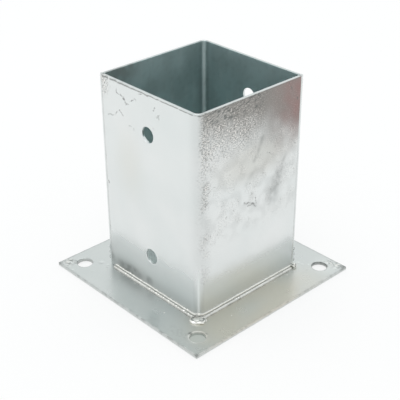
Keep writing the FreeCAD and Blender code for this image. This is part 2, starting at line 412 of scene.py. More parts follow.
def plate_top_coat(u, v):
    """Gentle waves, ragged lips round the holes, lumps of dross with painted shadows and highlights, and
    a matt socket floor painted pale as painted light.
    """
    coat = Coat()
    coat.proud = 0.05 * cloud(u, v, 34.0, 1) + 0.015 * cloud(u, v, 9.0, 2)
    for hole_u, hole_v in anchor_places:
        off = math.hypot(u - hole_u, v - hole_v) - ANCHOR_MOUTH
        ragged = 0.9 + 0.2 * cloud(u, v, 3.5, 3)
        coat.proud += 0.15 * ragged * ridge(off - 0.6, 0.7)
        coat.grime += 0.20 * ramp(cloud(u, v, 3.0, 4), 0.05, 0.35) * ramp(off, 1.1, 0.1)
        coat.grime += bore_darkness(hole_u, hole_v) * ramp(off, 0.05, -0.1)
        # At the front hole: two dark patches, and a lip and bore made paler and matt, a painted
        # highlight on the lip and painted light in the bore.
        if (hole_u, hole_v) == (ANCHOR_OFF, -ANCHOR_OFF):
            black = spot(u, v, 54.5, -62.0, 1.6, 2.4) + 0.7 * spot(u, v, 62.5, -54.5, 1.6, 1.2)
            coat.grime = min(0.3, coat.grime) + 0.8 * black
            coat.ash += 0.8 * ramp(off, 0.9, -0.1) * (1.0 - min(1.0, black))
    for middle_u, middle_v, size, height, pale in dross_lumps:
        lump = spot(u, v, middle_u, middle_v, size, size)
        # Each lump has a painted shadow to one side, and its paleness is a painted highlight.
        shade = spot(u, v, middle_u + 0.6, middle_v - 0.9, size, size) * (1.0 - lump)
        coat.proud += height * lump * (0.8 + 0.5 * cloud(u, v, 1.6, 6))
        coat.grime += (0.7 - 0.55 * pale) * shade
        coat.ash += pale * lump
    for middle_u, middle_v, half_u, half_v in rough_corners:
        rough = spot(u, v, middle_u, middle_v, half_u, half_v)
        crust = cloud(u, v, 1.7, 7)
        coat.proud += 0.14 * rough * crust
        coat.grime += 0.30 * rough * ramp(crust, -0.05, -0.35)
        coat.ash += 0.45 * rough * ramp(crust, -0.05, 0.3)
        coat.pitted += 0.7 * rough
    tip = spot(u, v, 74.5, 74.5, 6.0, 7.0) + 0.6 * spot(u, v, -74.5, -74.5, 5.0, 5.0)
    coat.grime += 0.55 * tip * (0.6 + 0.8 * ramp(cloud(u, v, 1.4, 10), -0.3, 0.3))
    out = max(abs(u), abs(v)) - PLATE_SIDE / 2  # from the plate's edge, below 0 on the plate
    coat.grime += ramp(out, -0.9, -0.2) * (0.16 + 0.24 * ramp(cloud(u, v, 3.0, 8), 0.0, 0.5))
    brim_line = ridge(out + 0.9, 0.5) * ramp(cloud(u, v, 2.4, 33), -0.4, 0.2)
    coat.grime += (0.15 + 0.30 * ramp(v, -74.0, -74.4)) * brim_line
    coat.ash += 0.5 * ramp(u, 73.6, 74.2) * ramp(cloud(u, v, 3.2, 34), -0.3, 0.3) * ramp(u, 74.8, 74.6)
    coat.grime += 0.6 * spot(u, v, 74.0, -74.0, 2.2, 2.2)
    crack = streak(u, v, [(-71.0, -67.5), (-68.0, -65.0), (-64.0, -63.0)], 0.7)
    coat.grime += 0.75 * crack * ramp(cloud(u, v, 1.5, 35), -0.5, 0.1)
    ripples = ramp(cloud(0.4 * (u - v), u + v, 1.8, 36), 0.05, 0.35)
    coat.grime += 0.22 * ripples * spot(u, v, 50.0, -67.0, 15.0, 7.0)
    warmth = min(1.0, 1.6 * spot(u, v, 66.0, -12.0, 48.0, 85.0))
    coat.warm = warmth * ramp(cloud(u, v, 30.0, 9), -0.9, 0.0)
    # The socket floor is painted paler and matt: painted light.
    coat.ash += ramp(max(abs(u), abs(v)), SOCKET_FLOOR, SOCKET_FLOOR - 3.0)
    coat.ash += 0.35 * spot(u, v, 64.0, 66.0, 16.0, 18.0)
    return coat


def plate_under_coat(u, v):
    coat = Coat()
    for hole_u, hole_v in anchor_places:
        off = math.hypot(u - hole_u, v - hole_v) - ANCHOR_MOUTH
        coat.grime += 0.6 * bore_darkness(hole_u, hole_v) * ramp(off, 0.05, -0.1)
    return coat


def plate_wear(u, v):
    return 0.12 + 0.14 * cloud(u, v, 4.0, 5)


plate_stops = [off + aside for off in (-ANCHOR_OFF, ANCHOR_OFF) for aside in (-HOLE_WINDOW, HOLE_WINDOW)]
plate_stops.append(PLATE_SIDE / 2 - EDGE_ROLL)
plate_lines = grid_lines(EDGE_ROLL - PLATE_SIDE / 2, *[(stop, PLATE_STEP) for stop in plate_stops])
plate = dipped_sheet(
    "base_plate_zinc",
    plate_lines,
    plate_lines,
    PLATE_THICK,
    [(x, y, ANCHOR_MOUTH - EDGE_ROLL) for x, y in anchor_places],
    plate_place,
    plate_top_coat,
    plate_under_coat,
    plate_wear,
)
plate.data.materials.append(plate_zinc)
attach(plate, "root")
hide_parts("base_plate")


# ------------------------------------------------------------------------------------------------
# Folded angles
# Each is a blank of 2 mm sheet, punched for the post bolts in one leg and folded once. Two of
# them stand corner to corner on the plate and make the square socket.
# ------------------------------------------------------------------------------------------------

angle_low, angle_high = (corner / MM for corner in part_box("front_right_angle"))
OUTER_FACE = angle_high.x
LEG_END = -angle_low.x
WALL_THICK = OUTER_FACE - LEG_END
WALL_HEIGHT = angle_high.z - angle_low.z
FOOT = angle_low.z
FOLD_RADIUS = 3.0
BEND_RADIUS = FOLD_RADIUS + WALL_THICK
AXIS = OUTER_FACE - BEND_RADIUS  # how far the fold's axis is from the socket's middle, each way
LEG = LEG_END + OUTER_FACE - BEND_RADIUS  # the flat stretch of each leg
BEND = BEND_RADIUS * math.pi / 2  # the fold, along its outer face
BLANK = 2 * LEG + BEND
RIM_BAND = 4.0  # how far below the rim the grid is finer, for the line under the rim
BOLT_RADIUS = mounts["upper_post_bolt"]["dims"]["r_mm"]
bolt_heights = [mounts[name]["pos_m"][2] / MM - FOOT for name in ("lower_post_bolt", "upper_post_bolt")]


def folded_place(u, v, depth):
    """The front leg runs along +X, the fold turns it and the right leg runs along +Y."""
    if u <= LEG:
        x, y = u - LEG_END, depth - OUTER_FACE
    elif u < LEG + BEND:
        angle = (u - LEG) / BEND_RADIUS
        x = AXIS + (BEND_RADIUS - depth) * math.sin(angle)
        y = -AXIS - (BEND_RADIUS - depth) * math.cos(angle)
    else:
        x, y = OUTER_FACE - depth, u - LEG - BEND - AXIS
    return x, y, FOOT + v


def turned_place(u, v, depth):
    x, y, z = folded_place(u, v, depth)
    return -x, -y, z


def leg_lines(seam_step, flat_step, fold_step, plain_step):
    """Grid lines along the blank: the punched leg, the fold and the plain leg."""
    return grid_lines(
        EDGE_ROLL,
        (LEG_END - HOLE_WINDOW, seam_step),
        (LEG_END + HOLE_WINDOW, flat_step),
        (LEG, flat_step),
        (LEG + BEND, fold_step),
        (BLANK - EDGE_ROLL, plain_step),
    )


def height_lines(step, upper_step, rim_step):
    """Grid lines up the blank, with the windows round the bolt holes on the lines."""
    lower, upper = bolt_heights
    return grid_lines(
        EDGE_ROLL,
        (lower - HOLE_WINDOW, step),
        (lower + HOLE_WINDOW, step),
        (WALL_HEIGHT / 2, step),
        (upper - HOLE_WINDOW, upper_step),
        (upper + HOLE_WINDOW, upper_step),
        (WALL_HEIGHT - RIM_BAND, upper_step),
        (WALL_HEIGHT - EDGE_ROLL, rim_step),
    )


def outer_height(u, v, seed):
    """Height of an outer face's zinc: gentle waves, and a lip round each bolt hole."""
    offs = [math.hypot(u - LEG_END, v - height) - BOLT_RADIUS for height in bolt_heights]
    waves = 0.06 * cloud(u, v, 45.0, seed) + 0.02 * cloud(u, v, 13.0, seed + 1)
    return waves + sum(0.10 * ridge(off - 0.7, 0.6) for off in offs)


# Shallow drag marks in the right wall's zinc: places (y, z), width and how grey they are.
# The grey is partly painted shade of the dents.
drag_marks = [
    ([(30.5, 94.0), (26.0, 81.0), (21.0, 70.0)], 6.0, 0.20),
    ([(26.0, 84.0), (23.0, 78.0), (20.5, 71.0)], 6.0, 0.16),
    ([(33.0, 99.0), (28.0, 86.0)], 1.5, 0.12),
    ([(10.0, 120.0), (7.0, 112.0), (2.5, 105.0)], 1.7, 0.30),
    ([(3.5, 98.5), (-4.0, 89.0)], 2.8, 0.14),
    ([(16.0, 104.0), (8.0, 92.0)], 3.0, 0.08),
    ([(-6.0, 76.0), (0.0, 74.5), (5.5, 70.0)], 0.9, 0.25),
]


def hammer(coat, u, v, y, z, right_wall):
    """The right wall's hammered patch, with slanted wrinkles where it nears the rim."""
    hammered = max(0.9 * ramp(y, 20.0, -8.0) * ramp(z, 108.0, 130.0), 0.10 * ramp(z, 100.0, 120.0))
    hammered *= right_wall
    dimples = cloud(u * 0.7, v * 1.2, 1.3, 13)
    coat.proud += 0.12 * hammered * dimples
    coat.grime += 0.16 * hammered * ramp(dimples, 0.10, -0.35)
    coat.pitted += hammered * (0.75 + 0.6 * cloud(u, v, 7.0, 13))
    along, over = 0.94 * u + 0.34 * v, 0.94 * v - 0.34 * u
    wrinkles = cloud(0.30 * along, over, 1.1, 16)
    wrinkled = right_wall * ramp(y, 20.0, 0.0) * ramp(z, 138.5, 143.5)
    coat.proud -= 0.14 * wrinkled * ramp(wrinkles, 0.0, 0.4)
    furrow = wrinkled * ramp(wrinkles, 0.05, 0.30)
    crest = wrinkled * ramp(wrinkles, 0.0, -0.25)
    coat.grime += 0.75 * furrow * (0.4 + 0.6 * ramp(y, -46.0, -28.0))
    coat.warm += 0.55 * crest
    coat.ash += 0.50 * crest * ramp(y, 5.0, -25.0)
    coat.pitted *= 1.0 - 0.45 * wrinkled


def speckle(coat, u, v, x, y, z, on_right):
    """Specks beside the fold, in the front wall's top corner and, faint, over the right wall."""
    specks = cloud(u, v, 1.3, 14)
    beside_fold = ridge(u - LEG - BEND / 2 - 4.5, 4.0) * ramp(z, 15.0, 40.0)
    rough = on_right * (spot(y, z, -41.0, 103.0, 6.0, 8.0) + spot(y, z, -43.0, 91.0, 6.0, 8.0))
    corner = min(1.0, 1.6 * spot(x, z, -46.0, 148.0, 11.0, 15.0)) * ramp(u, LEG, LEG - 4.0)
    speckled = beside_fold * (0.10 + 0.60 * ramp(cloud(u, v, 7.0, 27), -0.45, 0.35))
    speckled += 0.7 * min(1.0, rough) + corner
    coat.proud += 0.06 * speckled * specks
    coat.grime += 0.20 * speckled * ramp(specks, -0.05, -0.45) + 0.05 * beside_fold
    coat.grime += 0.22 * rough * ramp(cloud(u, v, 2.5, 32), -0.2, 0.3)
    coat.pitted += 0.55 * speckled + 0.4 * corner
    mottle = on_right * ramp(z, 48.0, 66.0) * ramp(z, 140.0, 112.0)
    coat.grime += 0.11 * mottle * ramp(cloud(u, v, 5.5, 24), -0.3, 0.5)
    coat.pitted += 0.20 * mottle * ramp(cloud(u, v, 9.0, 25), -0.25, 0.3)


def tint(coat, u, v, y, z, right_wall):
    """The right wall's brown and red top, partly painted reflection, the beige band below it and the
    drag marks.
    """
    starts, full = 115.0 - 0.24 * (y + 40.0), 165.0 - 0.40 * (y + 40.0)
    # The brown and red top is partly a cast and partly painted reflection.
    coat.bronze = right_wall * ramp(z + 5.0 * cloud(u, v, 9.0, 15), starts, full)
    coat.rust = coat.bronze * ramp(y, 8.0, 46.0) * (0.78 + 0.55 * cloud(u, v, 8.0, 26))
    band = right_wall * min(1.0, 1.5 * spot(y, z, 2.0, 105.0, 50.0, 20.0))
    coat.bronze += 0.13 * band * (1.0 + 0.6 * cloud(u, v, 9.0, 37))
    coat.warm += 0.30 * band
    for points, width, grey in drag_marks:
        mark = right_wall * grey * streak(y, z, points, width)
        coat.proud -= 0.4 * mark
        coat.grime += mark * (0.8 + 0.6 * cloud(u, v, 3.0, 17))


def stain(coat, u, v, x, z, on_front):
    """The front wall's stained foot, also darker towards the bottom as painted reflection, and its
    paler, faintly warm top.
    """
    stained = 1.6 * spot(x, z, -25.0, 7.5, 19.0, 7.5) + spot(x, z, -3.0, 9.0, 6.0, 5.0)
    stained += 0.8 * spot(x, z, -45.0, 11.0, 4.0, 9.0)
    blots = 0.19 + 0.22 * ramp(cloud(u, v, 2.9, 18), -0.4, 0.35)
    # Blotchy stains at the foot, over a darkening towards the bottom that is painted reflection of the
    # plate.
    coat.grime += on_front * (min(1.0, stained) * blots + 0.02 * ramp(z, 30.0, 16.0))
    coat.grime += 0.05 * on_front * ramp(z, 16.0, 8.0)
    coat.bronze += 0.17 * on_front * min(1.0, 1.7 * spot(x, z, -22.0, 6.0, 34.0, 14.0))
    coat.warm += 0.25 * on_front * spot(x, z, -20.0, 95.0, 22.0, 40.0)
    coat.ash += 0.13 * on_front * ramp(z, 78.0, 108.0) * ramp(v, WALL_HEIGHT - 0.1, WALL_HEIGHT - 0.5)


def front_right_coat(u, v):
    """Smooth on the front wall; hammered, and brown towards its top, partly as painted reflection, on
    the right wall.
    """
    coat = Coat()
    x, y, z = folded_place(u, v, 0.0)
    on_right = ramp(u, LEG + 0.4 * BEND, LEG + BEND + 2.0)
    on_front = ramp(u, LEG, LEG - 4.0)
    below_rim = ramp(v, WALL_HEIGHT - 0.1, WALL_HEIGHT - 0.5)
    coat.proud = outer_height(u, v, 11)
    hammer(coat, u, v, y, z, on_right * below_rim)
    speckle(coat, u, v, x, y, z, on_right)
    tint(coat, u, v, y, z, on_right * below_rim)
    stain(coat, u, v, x, z, on_front)

    # The ragged black line under the rim, a shallow groove below a roll of zinc, partly painted shade.
    rim = WALL_HEIGHT - 0.95 + 0.45 * cloud(u, 0.0, 4.0, 19)
    rim_line = ridge(v - rim, 0.38 + 0.22 * ramp(x, 5.0, -30.0))
    coat.proud += 0.08 * ramp(v, WALL_HEIGHT - 1.2, WALL_HEIGHT - 0.6) - 0.05 * rim_line
    coat.grime += (0.85 - 0.55 * on_right) * rim_line * ramp(cloud(u, 0.0, 2.2, 20), -0.75, -0.05)

    # The fold, dusky higher up and with a pale line between two dark ones near the foot: a painted
    # highlight between painted reflections. Both walls also darken towards the foot, a painted
    # reflection of the plate.
    off_fold = (u - LEG - BEND / 2) / BEND
    low = ramp(z, 46.0, 30.0) * ramp(z, 4.0, 9.0)
    coat.grime += 0.09 * ridge(off_fold, 0.7) * ramp(z, 30.0, 50.0)
    coat.ash += 0.85 * low * ridge(off_fold, 0.085)
    coat.grime += 0.11 * low * ridge(abs(off_fold) - 0.36, 0.18) + 0.16 * ramp(z, 20.0, 6.0)
    height = z + 5.0 * cloud(u, v, 16.0, 28)
    coat.dull = (0.75 - 0.2 * on_right) * ramp(height, 44.0 - 5.0 * on_right, 20.0)
    return coat


def inner_wall_coat(u, v):
    """Cloudy, paler towards the floor as painted light, a painted highlight down the fold with painted
    dark strips beside it, and faint runs down the wall.
    """
    coat = Coat()
    coat.proud = 0.04 * cloud(u, v, 30.0, 21)
    coat.grime = 0.16 * ramp(cloud(u, v * 0.7, 16.0, 22), -0.2, 0.5)
    coat.grime += 0.07 * ramp(cloud(u, v, 3.5, 29), 0.0, 0.4) + 0.06 * ramp(v, 118.0, 148.0)
    bend = (u - LEG - BEND / 2) / BEND
    # Painted dark strips beside the fold, a painted highlight down it and painted light low on the wall.
    coat.grime += 0.25 * ridge(abs(bend) - 0.55, 0.22)
    coat.ash = 0.4 * ridge(bend, 0.30) + 0.9 * ramp(v, 72.0, 45.0)
    coat.ash += 0.08 * ramp(cloud(u, v * 0.12, 3.0, 23), 0.1, 0.5) * ramp(v, 60.0, 90.0)
    return coat


def stained_inner_coat(u, v):
    """The same, with a brown stain under the rim where the left wall ends."""
    coat = inner_wall_coat(u, v)
    stain = spot(u, v, BLANK - 5.0, WALL_HEIGHT - 2.0, 34.0, 17.0)
    coat.bronze = min(0.55, stain * (0.8 + 0.9 * cloud(u, v, 4.5, 30)))
    return coat


def back_left_coat(u, v):
    coat = Coat()
    coat.proud = outer_height(u, v, 31)
    return coat


def wall_wear(u, v):
    return 0.05 + 0.05 * cloud(u, v, 5.0, 41)


# Cracks and flow lines in the zinc, each (along the wall, up, along, up, half width).
front_marks = [
    (-30.5, 147.0, -30.5, 144.0, 0.4),
    (-30.5, 144.0, -23.5, 142.5, 0.6),
    (-23.5, 142.5, -21.0, 138.5, 0.8),
    (-21.0, 138.5, -18.5, 139.0, 0.65),
    (-17.5, 141.5, -11.5, 145.5, 0.5),
    (-11.5, 145.5, -9.0, 144.0, 0.5),
    (-40.0, 125.0, -33.5, 127.0, 0.5),
    (-33.5, 127.0, -27.5, 132.0, 0.6),
    (-27.5, 132.0, -24.5, 129.0, 0.5),
    (6.0, 142.5, 8.5, 145.0, 0.4),
    (9.5, 139.0, 16.5, 143.5, 0.5),
    (10.5, 140.5, 11.5, 138.5, 0.4),
    (-18.5, 124.0, -16.0, 124.0, 0.35),
    (-13.5, 123.0, -13.0, 122.0, 0.35),
    (5.0, 130.0, 7.5, 129.5, 0.4),
    (-7.0, 150.0, 1.0, 151.0, 0.4),
    (-44.0, 73.5, -43.5, 72.0, 0.6),
]
right_marks = [
    (-6.0, 76.0, 0.0, 74.5, 0.6),
    (0.0, 74.5, 5.5, 70.0, 0.65),
    (-3.0, 73.0, 3.5, 72.5, 0.7),
    (4.5, 77.0, 5.5, 72.5, 0.5),
    (-23.0, 81.0, -23.0, 70.5, 0.25),
    (-22.0, 72.5, -21.5, 72.0, 0.6),
    (33.0, 151.0, 37.0, 145.0, 0.45),
    (42.0, 138.0, 43.0, 136.5, 0.6),
    (-40.0, 96.0, -33.0, 99.0, 0.4),
    (-44.0, 84.0, -39.0, 90.0, 0.55),
    (15.0, 107.0, 20.0, 104.0, 0.35),
]
MARK_SHAKE = 0.0040  # how far noise moves a mark's line


def arrow(tree, operation, *arrows, **settings):
    """Outputs of vector arithmetic: the first is a vector, "Value" a number."""
    return new_node(tree, "ShaderNodeVectorMath", *arrows, operation=operation, **settings).outputs


def stroke_group():
    """1 on the line from Start that runs Along and 0 from Width off it."""
    group = bpy.data.node_groups.new("zinc_stroke", "ShaderNodeTree")
    for label in ("Place", "Start", "Along"):
        group.interface.new_socket(label, in_out="INPUT", socket_type="NodeSocketVector")
    group.interface.new_socket("Width", in_out="INPUT", socket_type="NodeSocketFloat")
    group.interface.new_socket("Mark", in_out="OUTPUT", socket_type="NodeSocketFloat")
    given = new_node(group, "NodeGroupInput").outputs
    along = given["Along"]
    from_start = arrow(group, "SUBTRACT", given["Place"], given["Start"])[0]
    across = arrow(group, "DOT_PRODUCT", from_start, along)["Value"]
    whole = arrow(group, "DOT_PRODUCT", along, along)["Value"]
    share = new_node(group, "ShaderNodeMath", across, whole, operation="DIVIDE", use_clamp=True)
    nearest_point = arrow(group, "SCALE", along, Scale=share.outputs[0])[0]
    gap = arrow(group, "DISTANCE", from_start, nearest_point)["Value"]
    fade = new_node(
        group, "ShaderNodeMapRange", gap, 0.0, given["Width"], 1.0, 0.0, interpolation_type="SMOOTHSTEP"
    )
    new_node(group, "NodeGroupOutput", Mark=fade.outputs["Result"])
    return group


def wall_marks(tree, place):
    """Socket that is 1 on a flow mark, with every line made ragged by noise."""
    shake = new_node(tree, "ShaderNodeTexNoise", Vector=place, Scale=260.0, Detail=4.0).outputs["Color"]
    shake = arrow(tree, "SUBTRACT", shake, (0.5, 0.5, 0.5))[0]
    shaken = arrow(tree, "ADD", place, arrow(tree, "SCALE", shake, Scale=MARK_SHAKE)[0])[0]
    group = stroke_group()
    darkest = 0.0
    for marks, on_wall in (
        (front_marks, lambda x, z: Vector((x, -OUTER_FACE, z)) * MM),
        (right_marks, lambda y, z: Vector((OUTER_FACE, y, z)) * MM),
    ):
        for aside, up, to_aside, to_up, half_width in marks:
            start = on_wall(aside, up)
            stroke = new_node(
                tree,
                "ShaderNodeGroup",
                node_tree=group,
                Place=shaken,
                Start=start,
                Along=on_wall(to_aside, to_up) - start,
                Width=1.5 * half_width * MM,
            )
            darkest = number(tree, "MAXIMUM", darkest, stroke.outputs["Mark"])
    broken = spread(tree, grains(tree, place, 380.0, 1.0), 0.42, 0.56, 0.30, 0.85)
    return product(tree, darkest, broken)


# The walls' inner face is a darker teal, partly painted shade.
wall_zinc = zinc_finish(
    "wall_zinc", (0.78, 0.80, 0.795), (0.73, 0.765, 0.76), (0.13, 0.21), (0.555, 0.67, 0.675), wall_marks
)
bolt_holes = [(LEG_END, height, BOLT_RADIUS) for height in bolt_heights]
for node, place, coat, inner_coat, lines, heights in (
    (
        "front_right_angle",
        folded_place,
        front_right_coat,
        inner_wall_coat,
        leg_lines(0.8, 1.2, 0.6, 0.8),
        height_lines(1.1, 0.7, 0.35),
    ),
    (
        "back_left_angle",
        turned_place,
        back_left_coat,
        stained_inner_coat,
        leg_lines(1.5, 1.5, 0.6, 1.5),
        height_lines(1.5, 1.5, 0.35),
    ),
):
    angle = dipped_sheet(
        node + "_zinc", lines, heights, WALL_THICK, bolt_holes, place, coat, inner_coat, wall_wear
    )
    angle.data.materials.append(wall_zinc)
    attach(angle, "root")
    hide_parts(node)


# ------------------------------------------------------------------------------------------------
# Welds
# Two beads close the corners where the folded angles meet, and four run along the socket's foot,
# one to a wall. They are of the same steel and went into the zinc with the rest.
# ------------------------------------------------------------------------------------------------

SPATTER_GAP = 0.0034  # metres from a bead's line to its nearest droplets
SPATTER_SLIP = 0.006  # metres that a droplet may lie along the line from its place


def weld_tree():
    """Geometry Nodes: sweeps a section along a line, makes the bead lumpy and drops spatter by it."""
    tree = bpy.data.node_groups.new("weld_bead", "GeometryNodeTree")
    sockets = {}
    for label, kind in (
        ("Line", "NodeSocketGeometry"),
        ("Section", "NodeSocketObject"),
        ("Lump Size", "NodeSocketFloat"),
        ("Lump Height", "NodeSocketFloat"),
        ("Ripple Pitch", "NodeSocketFloat"),
        ("Ripple Height", "NodeSocketFloat"),
        ("Spatter Count", "NodeSocketInt"),
        ("Spatter Radius", "NodeSocketFloat"),
        ("Spatter Reach", "NodeSocketFloat"),
        ("Seed", "NodeSocketInt"),
    ):
        sockets[label] = tree.interface.new_socket(label, in_out="INPUT", socket_type=kind).identifier
    tree.interface.new_socket("Bead", in_out="OUTPUT", socket_type="NodeSocketGeometry")
    given = new_node(tree, "NodeGroupInput").outputs

    def step(kind, *values, **settings):
        return new_node(tree, kind, *values, **settings)

    def reckon(operation, *values):
        return number(tree, operation, *values)

    def times(one, other):
        return reckon("MULTIPLY", one, other)

    def geometry(kind, *values, **settings):
        return step(kind, *values, **settings).outputs["Geometry"]

    def scaled(way, length):
        return arrow(tree, "SCALE", way, Scale=length)[0]

    def named(label):
        return step("GeometryNodeInputNamedAttribute", label, data_type="FLOAT").outputs["Attribute"]

    line = step("GeometryNodeMeshToCurve", given["Line"]).outputs["Curve"]
    line = step("GeometryNodeSetCurveNormal", line, mode="Z_UP").outputs["Curve"]
    shape = geometry("GeometryNodeObjectInfo", given["Section"])
    section = step("GeometryNodeMeshToCurve", shape).outputs["Curve"]
    sweep = step("GeometryNodeCurveToMesh", line, section, Fill_Caps=True)
    if "Scale" in sweep.inputs:
        tree.links.new(named("girth"), sweep.inputs["Scale"])

    place = step("GeometryNodeInputPosition").outputs[0]
    normal = step("GeometryNodeInputNormal").outputs[0]
    lumps = step("ShaderNodeTexNoise", noise_dimensions="4D", Vector=place, W=given["Seed"], Detail=2.0)
    tree.links.new(reckon("DIVIDE", 1.0, given["Lump Size"]), lumps.inputs["Scale"])
    lump = reckon("SUBTRACT", lumps.outputs["Fac"], 0.5)
    swell = times(lump, times(given["Lump Height"], named("girth")))
    turn = reckon("DIVIDE", times(named("along"), 2.0 * math.pi), given["Ripple Pitch"])
    turn = reckon("ADD", turn, times(lump, 9.0))
    ripple = times(reckon("SINE", turn), times(named("toe"), given["Ripple Height"]))
    rise = scaled(normal, reckon("ADD", swell, ripple))
    bead = geometry("GeometryNodeSetPosition", sweep.outputs["Mesh"], None, None, rise)

    # The bead is darker in its hollows: painted shade.
    hollows = times(named("hollow"), reckon("ADD", 0.75, times(lump, 1.6)))
    pits = times(reckon("SUBTRACT", named("girth"), 1.0), times(lump, -14.0))
    dark = reckon("MAXIMUM", hollows, pits)
    per_point = {"data_type": "FLOAT", "domain": "POINT"}
    bead = geometry("GeometryNodeStoreNamedAttribute", bead, None, "grime", dark, **per_point)
    bead = geometry("GeometryNodeSetShadeSmooth", bead, None, True)

    def chance(low, high, offset):
        seed = reckon("ADD", given["Seed"], offset)
        return step("FunctionNodeRandomValue", low, high, data_type="FLOAT", Seed=seed).outputs[1]

    drops = step("GeometryNodeCurveToPoints", line, given["Spatter Count"], mode="COUNT")
    away = reckon("POWER", chance(0.0, 1.0, 1), 2.0)
    away = reckon("ADD", SPATTER_GAP, times(away, given["Spatter Reach"]))
    aside = scaled(drops.outputs["Normal"], away)
    slip = scaled(drops.outputs["Tangent"], chance(-SPATTER_SLIP, SPATTER_SLIP, 2))
    shift = arrow(tree, "ADD", aside, slip)[0]
    points = geometry("GeometryNodeSetPosition", drops.outputs["Points"], None, None, shift)
    pearl = step("GeometryNodeMeshIcoSphere", given["Spatter Radius"], 2).outputs["Mesh"]
    pearl = geometry("GeometryNodeSetShadeSmooth", pearl, None, True)
    size = chance(0.35, 1.0, 3)
    flat = step("ShaderNodeCombineXYZ", size, size, times(size, 0.6)).outputs[0]
    wanted = reckon("LESS_THAN", step("GeometryNodeInputIndex").outputs[0], given["Spatter Count"])
    scatter = step("GeometryNodeInstanceOnPoints", points, wanted, Instance=pearl, Scale=flat)
    whole = step("GeometryNodeJoinGeometry", scatter.outputs["Instances"])
    tree.links.new(bead, whole.inputs[0])
    step("NodeGroupOutput", Bead=geometry("GeometryNodeRealizeInstances", whole.outputs["Geometry"]))
    return tree, sockets


def wire(points, closed, **values):
    """A mesh of edges through points, in millimetres, with a value for each point by name."""
    count = len(points)
    edges = [(k, (k + 1) % count) for k in range(count if closed else count - 1)]
    mesh = bpy.data.meshes.new("wire")
    mesh.from_pydata([Vector(point) * MM for point in points], edges, [])
    for label, numbers in values.items():
        mesh.attributes.new(label, "FLOAT", "POINT").data.foreach_set("value", numbers)
    return put("wire", mesh)


def weld(name, line, section, finish, **settings):
    """The bead as a plain mesh; a setting is an input of the tree, with _ for a space."""
    tree, sockets = bead_tree
    modifier = line.modifiers.new("bead", "NODES")
    modifier.node_group = tree
    modifier[sockets["Section"]] = section
    for label, value in settings.items():
        modifier[sockets[label.replace("_", " ")]] = value
    shown = line.evaluated_get(bpy.context.evaluated_depsgraph_get())
    mesh = bpy.data.meshes.new_from_object(shown)
    for helper in (line, section):
        bpy.data.objects.remove(helper)
    mesh.name = name
    mesh.materials.clear()
    mesh.materials.append(finish)
    mesh.polygons.foreach_set("material_index", [0] * len(mesh.polygons))
    return put(name, mesh)


bead_tree = weld_tree()
foot_zinc = zinc_finish("foot_zinc", (0.92, 0.91, 0.87), (0.80, 0.79, 0.75), (0.12, 0.20))
seam_zinc = zinc_finish("seam_zinc", (0.78, 0.80, 0.795), (0.72, 0.75, 0.745), (0.16, 0.24))

# Half way round, the foot bead is a ridge, a hollow and a second ridge at its toe on the plate.
# Each is (out from the wall, up from the plate, how hollow, how rippled); how hollow sets painted shade.
FOOT_SECTION = [
    (-0.15, 2.80, 0.0, 0.0),
    (0.20, 2.80, 0.0, 0.0),
    (0.50, 2.68, 0.0, 0.0),
    (0.70, 2.42, 0.0, 0.1),
    (0.80, 2.12, 0.0, 0.1),
    (0.78, 1.90, 0.6, 0.0),
    (0.80, 1.66, 1.0, 0.0),
    (0.90, 1.44, 1.0, 0.0),
    (1.10, 1.30, 0.7, 0.2),
    (1.34, 1.30, 0.15, 0.7),
    (1.62, 1.20, 0.05, 1.0),
    (1.90, 0.98, 0.2, 1.0),
    (2.18, 0.66, 0.55, 1.0),
    (2.42, 0.32, 0.7, 0.6),
    (2.60, -0.15, 0.5, 0.0),
    (-0.15, -0.15, 0.0, 0.0),
]
LINE_STEP = 0.45
TIP = 2.0  # length of a bead's rounded tip


def tip_girth(run):
    """How full the bead is, that far from its end."""
    return 0.25 + 0.75 * math.sqrt(min(1.0, max(0.0, run / TIP)))


FRONT_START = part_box("front_foot_weld")[0].x / MM
RIGHT_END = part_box("right_foot_weld")[1].y / MM


def foot_line(wall, half_turn):
    """A foot bead's line along the front wall and half round the fold, or its mirror image.

    The mirror image is the line on the right wall. half_turn is -1 on the walls opposite.
    """
    points, along, girth = [], [], []
    arc = BEND / 2 + 0.6  # the two beads run into each other at the middle of the fold
    total = arc + AXIS + (RIGHT_END if wall == "right" else -FRONT_START)
    for run in spaced(0.0, total, LINE_STEP) + [total]:
        to_mitre = run if wall == "right" else total - run
        turned = max(0.0, arc - to_mitre) / BEND_RADIUS
        x = AXIS + BEND_RADIUS * math.sin(turned) - max(0.0, to_mitre - arc)
        y = -AXIS - BEND_RADIUS * math.cos(turned)
        if wall == "right":
            x, y = -y, -x
        points.append((x * half_turn, y * half_turn, PLATE_THICK))
        along.append(run * MM)
        girth.append(tip_girth(total - to_mitre) * (1.0 + 0.42 * ridge(to_mitre, 3.4)))
    return wire(points, False, along=along, girth=girth, radius=girth)


def weld_lump(piece, middle, sizes, turn, grimy):
    """Adds a lump where the torch stopped, as one more closed shell.

    sizes are its half length, half width and height; turn is the way its length points.
    """
    shell = bmesh.new()
    shell.from_mesh(piece.data)
    grime = shell.verts.layers.float["grime"]
    made = bmesh.ops.create_icosphere(shell, subdivisions=5, radius=1.0)
    for vert in made["verts"]:
        away = vert.co.copy()
        rough = cloud(1.8 * away.x + away.z, away.y - away.z, 0.70, 51)
        out = Vector([size * share for size, share in zip(sizes, away * (1.0 + 0.20 * rough))])
        vert.co = (out @ Matrix.Rotation(-turn, 3, "Z") + Vector(middle)) * MM
        ring = ridge(away.z - 0.66 - 0.25 * rough, 0.09)
        vert[grime] = grimy * max(ring, ramp(rough, -0.15, -0.40) * ramp(away.z, 1.0, 0.8))
    shell.to_mesh(piece.data)
    shell.free()
    piece.data.shade_smooth()


def section_wire(section, side_x, side_y):
    """A closed outline; side_x and side_y are -1 where it is turned over."""
    outline = [(out * side_x, over * side_y, 0.0) for out, over, _, _ in section]
    hollow = [row[2] for row in section]
    return wire(outline, True, hollow=hollow, toe=[row[3] for row in section])


